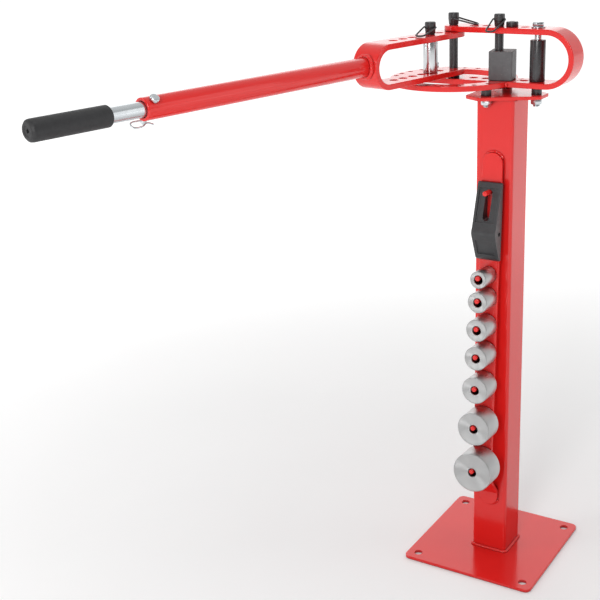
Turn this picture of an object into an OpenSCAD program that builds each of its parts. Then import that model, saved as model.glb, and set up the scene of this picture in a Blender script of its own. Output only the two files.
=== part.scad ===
// Manual tube bender on a floor stand: pedestal with a rack of dies, U-shaped
// support frame with index plate, and a swinging frame with a telescopic handle.
// Millimetres, Z up. The origin is the middle of the base plate's underside.
// The rack is on the -Y face of the post.

/* [Stand] */

// Side of the square base plate
base_w = 266; // [240:2:320]
// Thickness of the base plate
base_t = 6; // [5:0.5:10]
// Distance between neighbouring floor bolt holes
floor_bolt_pitch = 222; // [200:2:230]
// Diameter of a floor bolt hole
floor_bolt_d = 16; // [10:0.5:18]
// Outside width of the square post
post_w = 70; // [65:1:76]
// Wall of the post
post_wall = 4; // [3:0.5:6]
// Height of the post's top end above the floor
post_top = 905; // [900:1:912]
// Sideways offset of the post from the middle of the base plate
post_x = 6; // [0:1:8]
// Backward offset of the post from the middle of the base plate
post_y = 3; // [0:1:5]

/* [Head] */

// Thickness of the strap that both U frames are bent from
strap_t = 9.5; // [9:0.5:10]
// Width of the strap
strap_w = 50.8; // [48:0.4:54]
// Height of the index plate's upper face above the floor
index_z = 933; // [931:0.5:935]
// Distance from the post's axis to the pivot of the swing frame
pivot_reach = 96; // [90:1:104]
// Clear height between the legs of the support frame
support_gap = 81; // [80:0.5:84]
// Length of the support frame from pivot to closed end
support_len = 232; // [228:1:240]
// Clear height between the legs of the swing frame
swing_gap = 55.7; // [54:0.1:56]
// Length of the swing frame from pivot to closed end
swing_len = 240.5; // [236:0.5:250]
// Direction of the swing frame at rest, turned clockwise from +X as seen from above
swing_angle = 101.4; // [90:0.2:115]
// Outside radius of the index plate
index_r = 114; // [112:1:120]
// Radius of the circle of small rim holes
rim_r = 105; // [103:0.5:106]
// Angle between neighbouring rim holes
rim_step = 15; // [15]
// Diameter of a drop pin's shank
pin_d = 15.5; // [14:0.1:15.8]
// Radial clearance of a drop pin in its hole
pin_play = 0.1; // [0.05:0.01:0.12]

/* [Handle] */

// Outside diameter of the handle tube
tube_d = 32; // [30:0.5:34]
// Distance from pivot to the handle tube's outer end
tube_end = 692; // [660:1:700]
// Diameter of the sliding bar
bar_d = 22; // [20:0.5:24]
// Part of the bar that stands out of the tube before the grip
bar_show = 55; // [50:1:60]
// Length of the rubber grip
grip_len = 122; // [110:1:140]
// Diameter of the rubber grip
grip_d = 30; // [28:0.5:34]
// Spacing of the locking holes along the bar
lock_pitch = 50; // [50]

/* [Dies] */

// Diameters of the seven dies, from the top of the rack down
die_d = [31.75, 38.1, 41.3, 44.45, 50.8, 63.5, 76.2];
// Length of every die
die_len = 45; // [40:1:46]
// Bore of every die
die_bore = 16.1; // [15.9:0.1:17]
// Diameter of the roller sleeve on the roller pin
sleeve_d = 25.4; // [24:0.2:28]

/* [Rack] */

// Width of the rack strip
rack_w = 38; // [36:1:42]
// Thickness of the rack strip
rack_t = 6.4; // [5:0.2:7]
// Height of the strip's upper end above the floor
rack_top = 811; // [808:1:820]
// Height where the strip starts to bend back to the post
rack_knee = 182; // [178:1:184]
// Lean of the strip away from the post, in degrees
rack_lean = 3; // [2.8:0.1:3.1]
// Diameter of a peg
peg_d = 9; // [8:0.5:9.5]
// Length of a die peg in front of the strip
peg_len = 49.5; // [49:0.5:52]
// Length of the former's peg in front of the strip
short_peg_len = 29; // [26:1:32]

/* [Hidden] */

$fn = 64;
eps = 0.01;
gap = 0.3;                              // air between pieces that move past each other
pivot_x = post_x - pivot_reach;
pivot_y = post_y;
pin_hole_d = pin_d + 2 * pin_play;
half_strap = strap_w / 2;

// levels of the head, from the floor up
top_plate_t = 6;
top_plate_z = post_top + top_plate_t;                    // upper face of the top plate
index_bottom_z = index_z - strap_t;
support_under_z = index_z + support_gap;                 // underside of the support's upper leg
support_top_z = support_under_z + strap_t;
swing_top_z = support_under_z - gap;
swing_under_z = swing_top_z - strap_t;                   // underside of the swing's upper leg
swing_floor_z = swing_under_z - swing_gap;               // upper face of the swing's lower leg
swing_bottom_z = swing_floor_z - strap_t;
swing_mid_z = (swing_bottom_z + swing_top_z) / 2;
support_bend_r = (support_top_z - index_bottom_z) / 2;   // outside radius of the closed end
swing_bend_r = (swing_top_z - swing_bottom_z) / 2;
leg_end = 10;                                            // end arc's centre, inboard of the pivot

// pin stations along each frame, measured from the pivot
support_station = 23.8;
support_holes = [for (i = [0 : 5]) 39.5 + i * support_station];
block_station = support_holes[2];
plug_station = support_holes[3];
long_bolt_station = support_holes[5];
swing_station = 24.8;
swing_holes = [for (i = [0 : 5]) 41.8 + i * swing_station];
roller_station = swing_holes[1];
tongue_end = 122.8;                                      // where the strap meets the index plate

// three studs that carry the head on the top plate
stud_x = 84;
stud_y = 45.5;
stud_d = 10;
long_bolt_d = 12;
long_bolt_across = 18;
spacer_d = 18;
washer_t = 2;

// top plate: a triangle with its corners cut off, pointing to +X
plate_centre = 101;                                      // from the pivot
plate_inradius = 53;
plate_cut = 73;                                          // from the plate's centre to a cut corner

// bolt in a rim hole that stops the swing frame
stop_angle = 9 * rim_step;
stop_d = 8;
stop_across = 13;

// drop pins
head_d = 19;
head_h = 21.5;
bail_z = 12;                                             // bail's axis above the pin's seat
bail_wire = 3;
bail_len = 46;
bail_half = 11.4;
bail_bend = 2;                                           // bend beside the head
bail_nose = 9;                                           // bend at the loop's far corners
pin_under = 7;                                           // shank below the lowest leg

// how each bail lies: heading in plan and lean below level
centre_heading = 4;
roller_heading = 13.4;
block_heading = -90;
flat_lean = 13;
hanging_lean = 21.5;

handle_z = swing_mid_z + 2.6;
lock_s = 678;                                            // lock pin's place along the handle
bar_start = 302;                                         // inner end of the sliding bar
lock_pin_d = 8;
lock_turn = 40;                                          // its lean about the handle's axis
lock_seat = tube_d / 2 + 0.2;                            // from that axis to the pin head's underside
lock_shank = tube_d + 14;
clip_rise = 7;                                           // clip hole above the lock pin's tip
handle_entry = 14;                                       // tube's start, inboard of the closed end

// rack
rack_back_top = pivot_y - post_w / 2 - 0.4;              // strip's back face at its upper end
rack_foot_z = 110;
rack_land_z = 141;
rack_run = rack_top - rack_knee;
rack_front = rack_t * cos(rack_lean);                    // strip's thickness along a peg
rack_weld = 4;
peg_drop = [218, 260.4, 313, 367, 429, 506.2, 594.5];    // die pegs below the strip's upper end
former_drop = 68.5;
hang_gap = 0.6;                                          // between the strip and what hangs on it

red = [0.80, 0.10, 0.09];
black = [0.10, 0.10, 0.11];
dark = [0.27, 0.27, 0.29];
zinc = [0.76, 0.77, 0.78];
bright = [0.82, 0.83, 0.84];

// ---------- helpers ----------

// moves children from the pivot's frame to the part's frame
module at_pivot(angle = 0) {
    translate([pivot_x, pivot_y, 0])
        rotate([0, 0, angle])
            children();
}

// the swing frame's own frame: +X runs along the arm
module on_arm() {
    at_pivot(-swing_angle)
        children();
}

module hex_prism(across, h) {
    cylinder(h = h, d = across / cos(30), $fn = 6);
}

module ring(od, id, h) {
    difference() {
        cylinder(h = h, d = od);
        translate([0, 0, -1])
            cylinder(h = h + 2, d = id);
    }
}

// flat bar with one round end on its -X side
module round_end_bar(length, width, h, centre) {
    translate([centre, -width / 2, 0])
        cube([length - centre, width, h]);
    translate([centre, 0, 0])
        cylinder(h = h, d = width, $fn = 96);
}

module rounded_square(w, r, h) {
    side = w - 2 * r;
    translate([-side / 2, -w / 2, 0])
        cube([side, w, h]);
    translate([-w / 2, -side / 2, 0])
        cube([w, side, h]);
    for (sx = [-1, 1], sy = [-1, 1])
        translate([sx * side / 2, sy * side / 2, 0])
            cylinder(h = h, r = r);
}

// strap bent over to a half circle: its upper leg and the closed end
module u_strap(len, bottom_z, outer_r) {
    inner_r = outer_r - strap_t;
    bend_x = len - outer_r;
    translate([0, 0, bottom_z + 2 * outer_r - strap_t])
        round_end_bar(bend_x, strap_w, strap_t, leg_end);
    translate([bend_x, 0, bottom_z + outer_r])
        rotate([90, 0, 0])
            difference() {
                cylinder(h = strap_w, r = outer_r, center = true, $fn = 128);
                cylinder(h = strap_w + 2, r = inner_r, center = true, $fn = 128);
                translate([-outer_r - 1, 0, 0])
                    cube([2 * outer_r + 2, 2 * outer_r + 2, strap_w + 4], center = true);
            }
}

module pin_holes(stations, z, h) {
    for (s = stations)
        translate([s, 0, z - 1])
            cylinder(h = h + 2, d = pin_hole_d);
}

// drop pin standing on z = 0, its shank below and its tapered head above
module drop_pin(shank) {
    cut = 2;
    collar_d = pin_d + 1.5;
    flare = 7;
    difference() {
        union() {
            translate([0, 0, cut - shank])
                cylinder(h = shank - cut + eps, d = pin_d);
            translate([0, 0, -shank])
                cylinder(h = cut, d1 = pin_d - 3, d2 = pin_d);
            cylinder(h = cut, d = collar_d);
            translate([0, 0, cut])
                cylinder(h = flare, d1 = collar_d, d2 = head_d);
            translate([0, 0, cut + flare])
                cylinder(h = head_h - 2 * cut - flare, d = head_d);
            translate([0, 0, head_h - cut])
                cylinder(h = cut, d1 = head_d, d2 = head_d - 3);
        }
        translate([0, 0, bail_z])
            rotate([90, 0, 0])
                cylinder(h = head_d + 4, d = bail_wire + 0.4, center = true);
    }
}

// round wire from the origin along +X
module wire(length, d) {
    rotate([0, 90, 0])
        cylinder(h = length, d = d, $fn = 24);
}

module wire_bend(r, d, angle) {
    rotate_extrude(angle = angle, $fn = 48)
        translate([r, 0])
            circle(d = d, $fn = 24);
}

// closed wire loop: its axle along Y passes through the head, the loop points to +X
module bail_loop() {
    near = bail_half - bail_bend;
    far = bail_half - bail_nose;
    leg = bail_len - bail_bend - bail_nose;
    translate([0, -near, 0])
        rotate([0, 0, 90])
            wire(2 * near, bail_wire);
    for (s = [-1, 1]) {
        translate([bail_bend, s * near, 0])
            rotate([0, 0, s > 0 ? 90 : 180])
                wire_bend(bail_bend, bail_wire, 90);
        translate([bail_bend, s * bail_half, 0])
            wire(leg, bail_wire);
        translate([bail_bend + leg, s * far, 0])
            rotate([0, 0, s > 0 ? 0 : -90])
                wire_bend(bail_nose, bail_wire, 90);
    }
    translate([bail_len, -far, 0])
        rotate([0, 0, 90])
            wire(2 * far, bail_wire);
}

module bail(lean) {
    translate([0, 0, bail_z])
        rotate([0, lean, 0])
            bail_loop();
}

module stud_places() {
    for (s = [-1, 1])
        translate([stud_x, s * stud_y, 0])
            children();
}

// ---------- stand ----------

module base_plate() {
    color(red)
        difference() {
            rounded_square(base_w, 12, base_t);
            for (sx = [-1, 1], sy = [-1, 1])
                translate([sx, sy, 0] * floor_bolt_pitch / 2)
                    translate([0, 0, -1])
                        cylinder(h = base_t + 2, d = floor_bolt_d);
        }
}

module post_tube() {
    color(red)
        translate([post_x, post_y, base_t])
            difference() {
                rounded_square(post_w, 5, post_top - base_t);
                translate([0, 0, -1])
                    rounded_square(post_w - 2 * post_wall, 2, post_top - base_t + 2);
            }
}

// straight fillet bead along Y: one leg up the post's +X face, one out along the floor
module bead_run(size, length) {
    translate([0, length / 2, 0])
        rotate([90, 0, 0])
            linear_extrude(length)
                polygon([[0, 0], [size, 0], [0, size]]);
}

// the post's four sides in turn, each as if it were the +X side
module foot_weld() {
    size = 5.5;
    corner = 5;
    side = post_w / 2 - corner;
    color(red)
        translate([post_x, post_y, base_t])
            for (q = [0 : 3])
                rotate([0, 0, 90 * q]) {
                    translate([post_w / 2, 0, 0])
                        bead_run(size, 2 * side);
                    translate([side, side, 0])
                        rotate_extrude(angle = 90)
                            translate([corner, 0])
                                polygon([[0, 0], [size, 0], [0, size]]);
                }
}

module top_plate() {
    color(red)
        at_pivot()
            difference() {
                translate([plate_centre, 0, post_top])
                    difference() {
                        cylinder(h = top_plate_t, r = 2 * plate_inradius, $fn = 3);
                        for (a = [0, 120, 240])
                            rotate([0, 0, a])
                                translate([plate_cut, -60, -1])
                                    cube([60, 120, top_plate_t + 2]);
                    }
                stud_places()
                    translate([0, 0, post_top - 1])
                        cylinder(h = top_plate_t + 2, d = stud_d + 0.6);
                translate([long_bolt_station, 0, post_top - 1])
                    cylinder(h = top_plate_t + 2, d = long_bolt_d + 0.6);
            }
}

// beads on the two sides of the post that no stud stands beside
module top_weld() {
    color(red)
        translate([post_x, post_y, post_top])
            for (q = [0, 180])
                rotate([0, 0, q])
                    translate([post_w / 2, 0, 0])
                        mirror([0, 0, 1])
                            bead_run(5, 50);
}

// ---------- die rack ----------

// side outline of the strip, as [distance in front of the post's face, height]
function strip_face(off) = [
    [off, rack_top],
    [off + rack_run * tan(rack_lean), rack_knee],
    [off, rack_land_z],
    [off, rack_foot_z]
];

module rack_strip() {
    back = strip_face(0);
    front = strip_face(rack_t);
    outline = concat(back, [front[3], front[2], front[1], front[0]]);
    color(red)
        translate([post_x, rack_back_top, 0])
            intersection() {
                rotate([90, 0, -90])
                    linear_extrude(rack_w, center = true)
                        polygon(outline);
                rotate([90, 0, 0])
                    linear_extrude(200, center = true)
                        union() {
                            translate([-rack_w / 2, rack_foot_z + rack_w / 2])
                                square([rack_w, rack_top - rack_foot_z - rack_w]);
                            for (z = [rack_foot_z, rack_top - rack_w])
                                translate([0, z + rack_w / 2])
                                    circle(d = rack_w, $fn = 96);
                        }
            }
}

module rack_welds() {
    below = 8;
    upper_run = 14;
    lower_run = 18;
    color(red)
        for (z = [rack_top - rack_w / 2, rack_foot_z + rack_w / 2], s = [-1, 1])
            translate([post_x + s * rack_w / 2, post_y - post_w / 2, z])
                rotate([0, 0, s > 0 ? 0 : -90])
                    translate([0, 0, -below])
                        linear_extrude(z > rack_top / 2 ? upper_run : lower_run)
                            polygon([[0, 0], [rack_weld, 0], [0, -rack_weld]]);
}

// places children at a peg: their -Y is the peg's own direction, a little uphill
module at_peg(drop) {
    translate([post_x, rack_back_top - drop * tan(rack_lean), rack_top - drop])
        rotate([-rack_lean, 0, 0])
            children();
}

module peg(length) {
    translate([0, -rack_front, 0])
        rotate([90, 0, 0])
            cylinder(h = length, d = peg_d, $fn = 48);
}

module die_pegs() {
    color(red)
        for (drop = peg_drop)
            at_peg(drop)
                peg(peg_len);
}

module former_peg() {
    color(red)
        at_peg(former_drop)
            peg(short_peg_len);
}

// a die hangs with the top of its bore on the peg
module die(i) {
    sag = (die_bore - peg_d) / 2 - 0.05;
    d = die_d[i];
    color(bright)
        at_peg(peg_drop[i])
            translate([0, -rack_t - hang_gap, -sag])
                rotate([90, 0, 0])
                    difference() {
                        union() {
                            cylinder(h = 1, d1 = d - 2, d2 = d, $fn = 96);
                            translate([0, 0, 1])
                                cylinder(h = die_len - 2, d = d, $fn = 96);
                            translate([0, 0, die_len - 1])
                                cylinder(h = 1, d1 = d, d2 = d - 2, $fn = 96);
                        }
                        translate([0, 0, -1])
                            cylinder(h = die_len + 2, d = die_bore);
                    }
}

// black wedge with a hanging slot, thickest below the middle
module wedge_former() {
    w = 46;
    slot_w = 12.5;
    thin = 6;
    thick = 31;
    top = 17;
    slot_top = peg_d / 2 + 0.3;
    color(black)
        at_peg(former_drop)
            translate([0, -rack_t - hang_gap, 0])
                difference() {
                    rotate([90, 0, -90])
                        linear_extrude(w, center = true)
                            polygon([[0, top], [thin, top], [thin + 4, top - 12], [thick - 3, -62],
                                     [thick, -69], [thick, -74], [thick - 2, -79], [9, -121],
                                     [4, -125], [0, -125]]);
                    // recessed panel on the upper slope
                    rotate([16, 0, 0])
                        translate([-w / 2 + 5.5, -thin - 60, -58])
                            cube([w - 11, 56, 62]);
                    // hanging slot, round at both ends
                    hull() {
                        for (z = [slot_top - slot_w / 2, -44])
                            translate([0, 1, z])
                                rotate([90, 0, 0])
                                    cylinder(h = thick + 4, d = slot_w, $fn = 48);
                    }
                    // cross hole through the thick part
                    translate([0, -11, -74])
                        rotate([0, 90, 0])
                            cylinder(h = w + 2, d = 8, center = true);
                }
}

// ---------- support frame, fixed on the stand ----------

module support_frame() {
    color(red)
        at_pivot()
            difference() {
                union() {
                    u_strap(support_len, index_bottom_z, support_bend_r);
                    translate([tongue_end, -half_strap, index_bottom_z])
                        cube([support_len - support_bend_r - tongue_end, strap_w, strap_t]);
                }
                pin_holes(concat([0], support_holes), support_under_z, strap_t);
                pin_holes([for (s = support_holes) if (s > tongue_end) s], index_bottom_z, strap_t);
            }
}

// one D-shaped window, on the +Y side of the bar
module index_window() {
    window_r = 88;
    bar_half = 26;
    corner = 9;
    reach = sqrt(pow(window_r - corner, 2) - pow(bar_half + corner, 2));
    intersection() {
        cylinder(h = strap_t + 2, r = window_r, $fn = 128);
        translate([-reach, bar_half, 0])
            cube([2 * reach, window_r, strap_t + 2]);
    }
    for (s = [-1, 1])
        translate([s * reach, bar_half + corner, 0])
            cylinder(h = strap_t + 2, r = corner);
}

module index_plate() {
    color(red)
        at_pivot()
            translate([0, 0, index_bottom_z])
                difference() {
                    union() {
                        cylinder(h = strap_t, r = index_r, $fn = 180);
                        translate([0, -half_strap, 0])
                            cube([tongue_end, strap_w, strap_t]);
                    }
                    translate([0, 0, -1])
                        index_window();
                    mirror([0, 1, 0])
                        translate([0, 0, -1])
                            index_window();
                    for (a = [2 * rim_step : rim_step : 360 - 2 * rim_step])
                        rotate([0, 0, a])
                            translate([rim_r, 0, -1])
                                cylinder(h = strap_t + 2, d = 9.5, $fn = 32);
                    pin_holes(concat([0], [for (s = support_holes) if (s < tongue_end) s]), 0, strap_t);
                }
}

// ground weld across the joint of strap and index plate, and beads in the two corners
module frame_weld() {
    bead_h = 0.8;
    bead_w = 4.5;                       // ends short of the next pin hole
    corner_r = 4;
    corner_x = sqrt(pow(index_r, 2) - pow(half_strap, 2));
    color(red)
        at_pivot() {
            for (z = [index_z, index_bottom_z - bead_h])
                translate([tongue_end - 1, 1 - half_strap, z])
                    cube([bead_w, strap_w - 2, bead_h]);
            difference() {
                for (s = [-1, 1])
                    translate([corner_x, s * half_strap, index_bottom_z + 1])
                        cylinder(h = strap_t - 2, r = corner_r, $fn = 32);
                translate([0, 0, index_bottom_z])
                    cylinder(h = strap_t, r = index_r + eps, $fn = 180);
                translate([0, -half_strap - eps, index_bottom_z])
                    cube([tongue_end + corner_r, strap_w + 2 * eps, strap_t]);
            }
        }
}

module mount_spacers() {
    h = index_bottom_z - top_plate_z;
    color(black)
        at_pivot() {
            stud_places()
                translate([0, 0, top_plate_z])
                    ring(spacer_d, stud_d, h);
            translate([long_bolt_station, 0, top_plate_z])
                ring(spacer_d, long_bolt_d + 0.4, h);
        }
}

module mount_studs() {
    color(zinc)
        at_pivot()
            stud_places()
                translate([0, 0, post_top - 14])
                    cylinder(h = index_bottom_z - post_top + 14, d = stud_d);
}

// hexagon with its upper corners turned down
module bolt_head(across, h) {
    intersection() {
        hex_prism(across, h);
        translate([0, 0, h - across])
            cylinder(h = across, d1 = 3 * across, d2 = across * 1.04);
    }
}

module nut(across, h, bore) {
    difference() {
        intersection() {
            hex_prism(across, h);
            cylinder(h = h, d1 = across * 1.06, d2 = across * 1.06 + 2 * h);
        }
        translate([0, 0, -1])
            cylinder(h = h + 2, d = bore);
    }
}

// washer under the top plate and nut under the washer
module nut_stack(across, h, bolt_d) {
    translate([0, 0, post_top - washer_t])
        ring(2 * bolt_d, bolt_d + 0.4, washer_t);
    translate([0, 0, post_top - washer_t - h])
        nut(across, h, bolt_d);
}

module mount_nuts() {
    color(zinc)
        at_pivot() {
            stud_places()
                nut_stack(16, 8, stud_d);
            translate([long_bolt_station, 0, 0])
                nut_stack(long_bolt_across, 9, long_bolt_d);
        }
}

module long_bolt() {
    color(zinc)
        at_pivot()
            translate([long_bolt_station, 0, 0]) {
                translate([0, 0, post_top - 15])
                    cylinder(h = support_top_z + washer_t - post_top + 15, d = long_bolt_d);
                translate([0, 0, support_top_z + washer_t])
                    bolt_head(long_bolt_across, 7.5);
            }
}

module bolt_washer() {
    color(zinc)
        at_pivot()
            translate([long_bolt_station, 0, support_top_z])
                ring(2 * long_bolt_d, long_bolt_d + 0.4, washer_t);
}

module at_stop() {
    at_pivot(stop_angle)
        translate([rim_r, 0, 0])
            children();
}

// tall head seated on the rim of the index plate
module stop_bolt() {
    stop_head_h = 12;
    below = 11;
    color(zinc)
        at_stop() {
            translate([0, 0, index_bottom_z - below])
                cylinder(h = below + strap_t + eps, d = stop_d);
            translate([0, 0, index_z])
                bolt_head(stop_across, stop_head_h);
        }
}

module stop_nut() {
    color(zinc)
        at_stop()
            translate([0, 0, index_bottom_z - 7])
                nut(stop_across, 7, stop_d);
}

module pivot_bush() {
    color(black)
        at_pivot()
            translate([0, 0, index_z])
                ring(21, pin_hole_d, swing_bottom_z - index_z - gap);
}

// ---------- swing frame with its handle ----------

module swing_frame() {
    color(red)
        on_arm()
            difference() {
                union() {
                    u_strap(swing_len, swing_bottom_z, swing_bend_r);
                    translate([0, 0, swing_bottom_z])
                        round_end_bar(swing_len - swing_bend_r, strap_w, strap_t, leg_end);
                }
                pin_holes(concat([0], swing_holes), swing_bottom_z, strap_t);
                pin_holes(concat([0], swing_holes), swing_under_z, strap_t);
            }
}

// leaning axis of the lock pin, its origin on the handle's axis
module at_lock(station = lock_s) {
    translate([station, 0, handle_z])
        rotate([-lock_turn, 0, 0])
            children();
}

// passage for the lock pin right through a tube or bar of diameter d
module lock_bore(station, d) {
    at_lock(station)
        cylinder(h = 2 * d, d = lock_pin_d + 0.3, center = true);
}

module handle_tube() {
    color(red)
        on_arm()
            difference() {
                translate([swing_len - handle_entry, 0, handle_z])
                    rotate([0, 90, 0])
                        cylinder(h = tube_end - swing_len + handle_entry, d = tube_d);
                translate([swing_len + 6, 0, handle_z])
                    rotate([0, 90, 0])
                        cylinder(h = tube_end, d = bar_d + 0.4);
                translate([swing_len - swing_bend_r, 0, swing_mid_z])
                    rotate([90, 0, 0])
                        cylinder(h = strap_w + 20, r = swing_bend_r, center = true, $fn = 128);
                lock_bore(lock_s, tube_d);
            }
}

module handle_weld() {
    weld_d = tube_d + 11;
    behind = 6;
    leg = 5;
    color(red)
        on_arm()
            difference() {
                translate([swing_len - behind, 0, handle_z])
                    rotate([0, 90, 0]) {
                        cylinder(h = behind, d = weld_d);
                        translate([0, 0, behind])
                            cylinder(h = leg, d1 = weld_d, d2 = tube_d + 1);
                    }
                translate([swing_len - 20, 0, handle_z])
                    rotate([0, 90, 0])
                        cylinder(h = 60, d = tube_d);
                translate([swing_len - swing_bend_r, 0, swing_mid_z])
                    rotate([90, 0, 0])
                        cylinder(h = strap_w + 20, r = swing_bend_r, center = true, $fn = 128);
            }
}

module handle_bar() {
    color(zinc)
        on_arm()
            difference() {
                translate([bar_start, 0, handle_z])
                    rotate([0, 90, 0])
                        cylinder(h = tube_end + bar_show + grip_len - 8 - bar_start, d = bar_d);
                for (i = [0 : 6])
                    lock_bore(lock_s - i * lock_pitch, bar_d);
            }
}

module handle_grip() {
    wall = (grip_d - bar_d) / 2;
    color(black)
        on_arm()
            translate([tube_end + bar_show, 0, handle_z])
                rotate([0, 90, 0])
                    rotate_extrude($fn = 72)
                        difference() {
                            union() {
                                translate([0, 3])
                                    square([grip_d / 2, grip_len - 6]);
                                square([grip_d / 2 - 3, grip_len]);
                                for (y = [3, grip_len - 3])
                                    translate([grip_d / 2 - 3, y])
                                        circle(r = 3, $fn = 32);
                            }
                            translate([-1, -1])
                                square([bar_d / 2 + 1, grip_len - 8 + 1]);
                            translate([-1, grip_len - 9])
                                square([wall / 2 + 1.5, 12]);
                        }
}

module lock_pin() {
    lock_head_d = 14;
    lock_head_h = 4;
    crown = 1.2;
    color(zinc)
        on_arm()
            at_lock()
                translate([0, 0, lock_seat])
                    difference() {
                        union() {
                            translate([0, 0, -lock_shank])
                                cylinder(h = lock_shank + eps, d = lock_pin_d);
                            cylinder(h = lock_head_h, d = lock_head_d);
                            translate([0, 0, lock_head_h])
                                cylinder(h = crown, d1 = lock_head_d, d2 = lock_head_d - 3);
                        }
                        translate([0, 0, clip_rise - lock_shank])
                            rotate([0, 90, 0])
                                cylinder(h = 20, d = 2.9, center = true, $fn = 32);
                    }
}

// spring clip: a straight leg through the pin and a sprung leg that hugs it
module lock_clip() {
    wire_d = 2.4;
    straight = 30;
    through = 9;                         // straight leg beyond the pin's axis
    hug = 7;                             // where the sprung leg starts to bend round the pin
    eye_r = 5.5;
    hug_r = 5;
    color(zinc)
        on_arm()
            at_lock()
                translate([0, 0, lock_seat + clip_rise - lock_shank]) {
                    translate([-through, 0, 0])
                        wire(straight, wire_d);
                    translate([straight - through, eye_r, 0])
                        rotate([0, 0, -90])
                            wire_bend(eye_r, wire_d, 180);
                    translate([hug, 2 * eye_r, 0])
                        wire(straight - through - hug, wire_d);
                    translate([hug, 2 * eye_r - hug_r, 0])
                        rotate([0, 0, 90])
                            wire_bend(hug_r, wire_d, 75);
                }
}

// ---------- drop pins and what they carry ----------

module at_roller() {
    on_arm()
        translate([roller_station, 0, 0])
            children();
}

module centre_pin() {
    color(black)
        at_pivot(centre_heading)
            translate([0, 0, support_top_z + gap])
                drop_pin(support_top_z + gap - index_bottom_z + pin_under);
}

module centre_bail() {
    color(black)
        at_pivot(centre_heading)
            translate([0, 0, support_top_z + gap])
                bail(flat_lean);
}

// flush with the lower leg, so that it passes over the index plate
module roller_pin() {
    color(black)
        at_roller()
            rotate([0, 0, roller_heading])
                translate([0, 0, swing_top_z + gap])
                    drop_pin(swing_top_z + gap - swing_bottom_z + 1);
}

module roller_bail() {
    color(black)
        at_roller()
            rotate([0, 0, roller_heading])
                translate([0, 0, swing_top_z + gap])
                    bail(flat_lean);
}

module roller_sleeve() {
    color(bright)
        at_roller()
            translate([0, 0, swing_floor_z + gap])
                ring(sleeve_d, pin_hole_d, swing_gap - 2 * gap);
}

module block_pin() {
    color(black)
        at_pivot()
            translate([block_station, 0, support_top_z + gap])
                rotate([0, 0, block_heading])
                    drop_pin(support_top_z + gap - index_bottom_z + pin_under);
}

module block_bail() {
    color(black)
        at_pivot()
            translate([block_station, 0, support_top_z + gap])
                rotate([0, 0, block_heading])
                    bail(hanging_lean);
}

// square block, its hole off centre so that each side gives another distance
module square_block() {
    side = 41.3;
    h = 49.7;
    offset_x = 6.5;
    turn = 12;
    color(dark)
        at_pivot()
            translate([block_station, 0, index_z + gap])
                rotate([0, 0, turn])
                    difference() {
                        translate([offset_x - side / 2, -side / 2, 0])
                            cube([side, side, h]);
                        translate([0, 0, -1])
                            cylinder(h = h + 2, d = pin_hole_d);
                    }
}

module hole_plug() {
    plug_d = 21;
    plug_h = 7;
    chamfer = 1.5;
    color(black)
        at_pivot()
            translate([plug_station, 0, support_top_z + gap]) {
                translate([0, 0, -strap_t])
                    cylinder(h = strap_t + eps, d = pin_d);
                cylinder(h = plug_h, d = plug_d);
                translate([0, 0, plug_h])
                    cylinder(h = chamfer, d1 = plug_d, d2 = plug_d - 2.5);
            }
}

module roller_tube() {
    od = 26.8;
    h = 70;
    color(black)
        at_pivot()
            translate([long_bolt_station, 0, index_z + gap])
                ring(od, long_bolt_d + 0.2, h);
}

base_plate();
post_tube();
foot_weld();
top_plate();
top_weld();
rack_strip();
rack_welds();
die_pegs();
former_peg();
support_frame();
index_plate();
frame_weld();
mount_spacers();
mount_studs();
mount_nuts();
long_bolt();
bolt_washer();
stop_bolt();
stop_nut();
pivot_bush();
swing_frame();
handle_tube();
handle_weld();
handle_bar();
handle_grip();
lock_pin();
lock_clip();
centre_pin();
centre_bail();
roller_pin();
roller_bail();
roller_sleeve();
block_pin();
block_bail();
square_block();
hole_plug();
roller_tube();
for (i = [1 : len(die_d)])
    die(i - 1);
wedge_former();
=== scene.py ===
import math

import bmesh
import bpy
import numpy as np
from mathutils import Matrix, Vector
from mathutils.geometry import tessellate_polygon


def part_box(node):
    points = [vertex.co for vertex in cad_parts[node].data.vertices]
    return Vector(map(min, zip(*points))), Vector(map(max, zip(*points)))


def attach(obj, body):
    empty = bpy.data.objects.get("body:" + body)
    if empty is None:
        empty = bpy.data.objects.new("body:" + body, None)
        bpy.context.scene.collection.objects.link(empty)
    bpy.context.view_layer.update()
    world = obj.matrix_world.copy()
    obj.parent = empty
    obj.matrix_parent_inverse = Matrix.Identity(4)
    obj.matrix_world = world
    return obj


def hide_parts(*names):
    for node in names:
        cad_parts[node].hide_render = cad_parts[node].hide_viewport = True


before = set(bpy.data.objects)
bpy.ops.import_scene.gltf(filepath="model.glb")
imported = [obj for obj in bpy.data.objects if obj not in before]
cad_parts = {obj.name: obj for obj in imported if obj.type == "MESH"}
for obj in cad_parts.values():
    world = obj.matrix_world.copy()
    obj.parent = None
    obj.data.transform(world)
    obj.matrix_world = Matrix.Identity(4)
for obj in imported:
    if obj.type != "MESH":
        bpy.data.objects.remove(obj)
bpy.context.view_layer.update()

MM = 0.001
TAU = 2 * math.pi


# ---------- places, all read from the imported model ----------

def low(node):
    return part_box(node)[0] / MM


def high(node):
    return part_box(node)[1] / MM


def middle(node):
    return (low(node) + high(node)) / 2


def flat(v):
    return Vector((v.x, v.y, 0))


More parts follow.
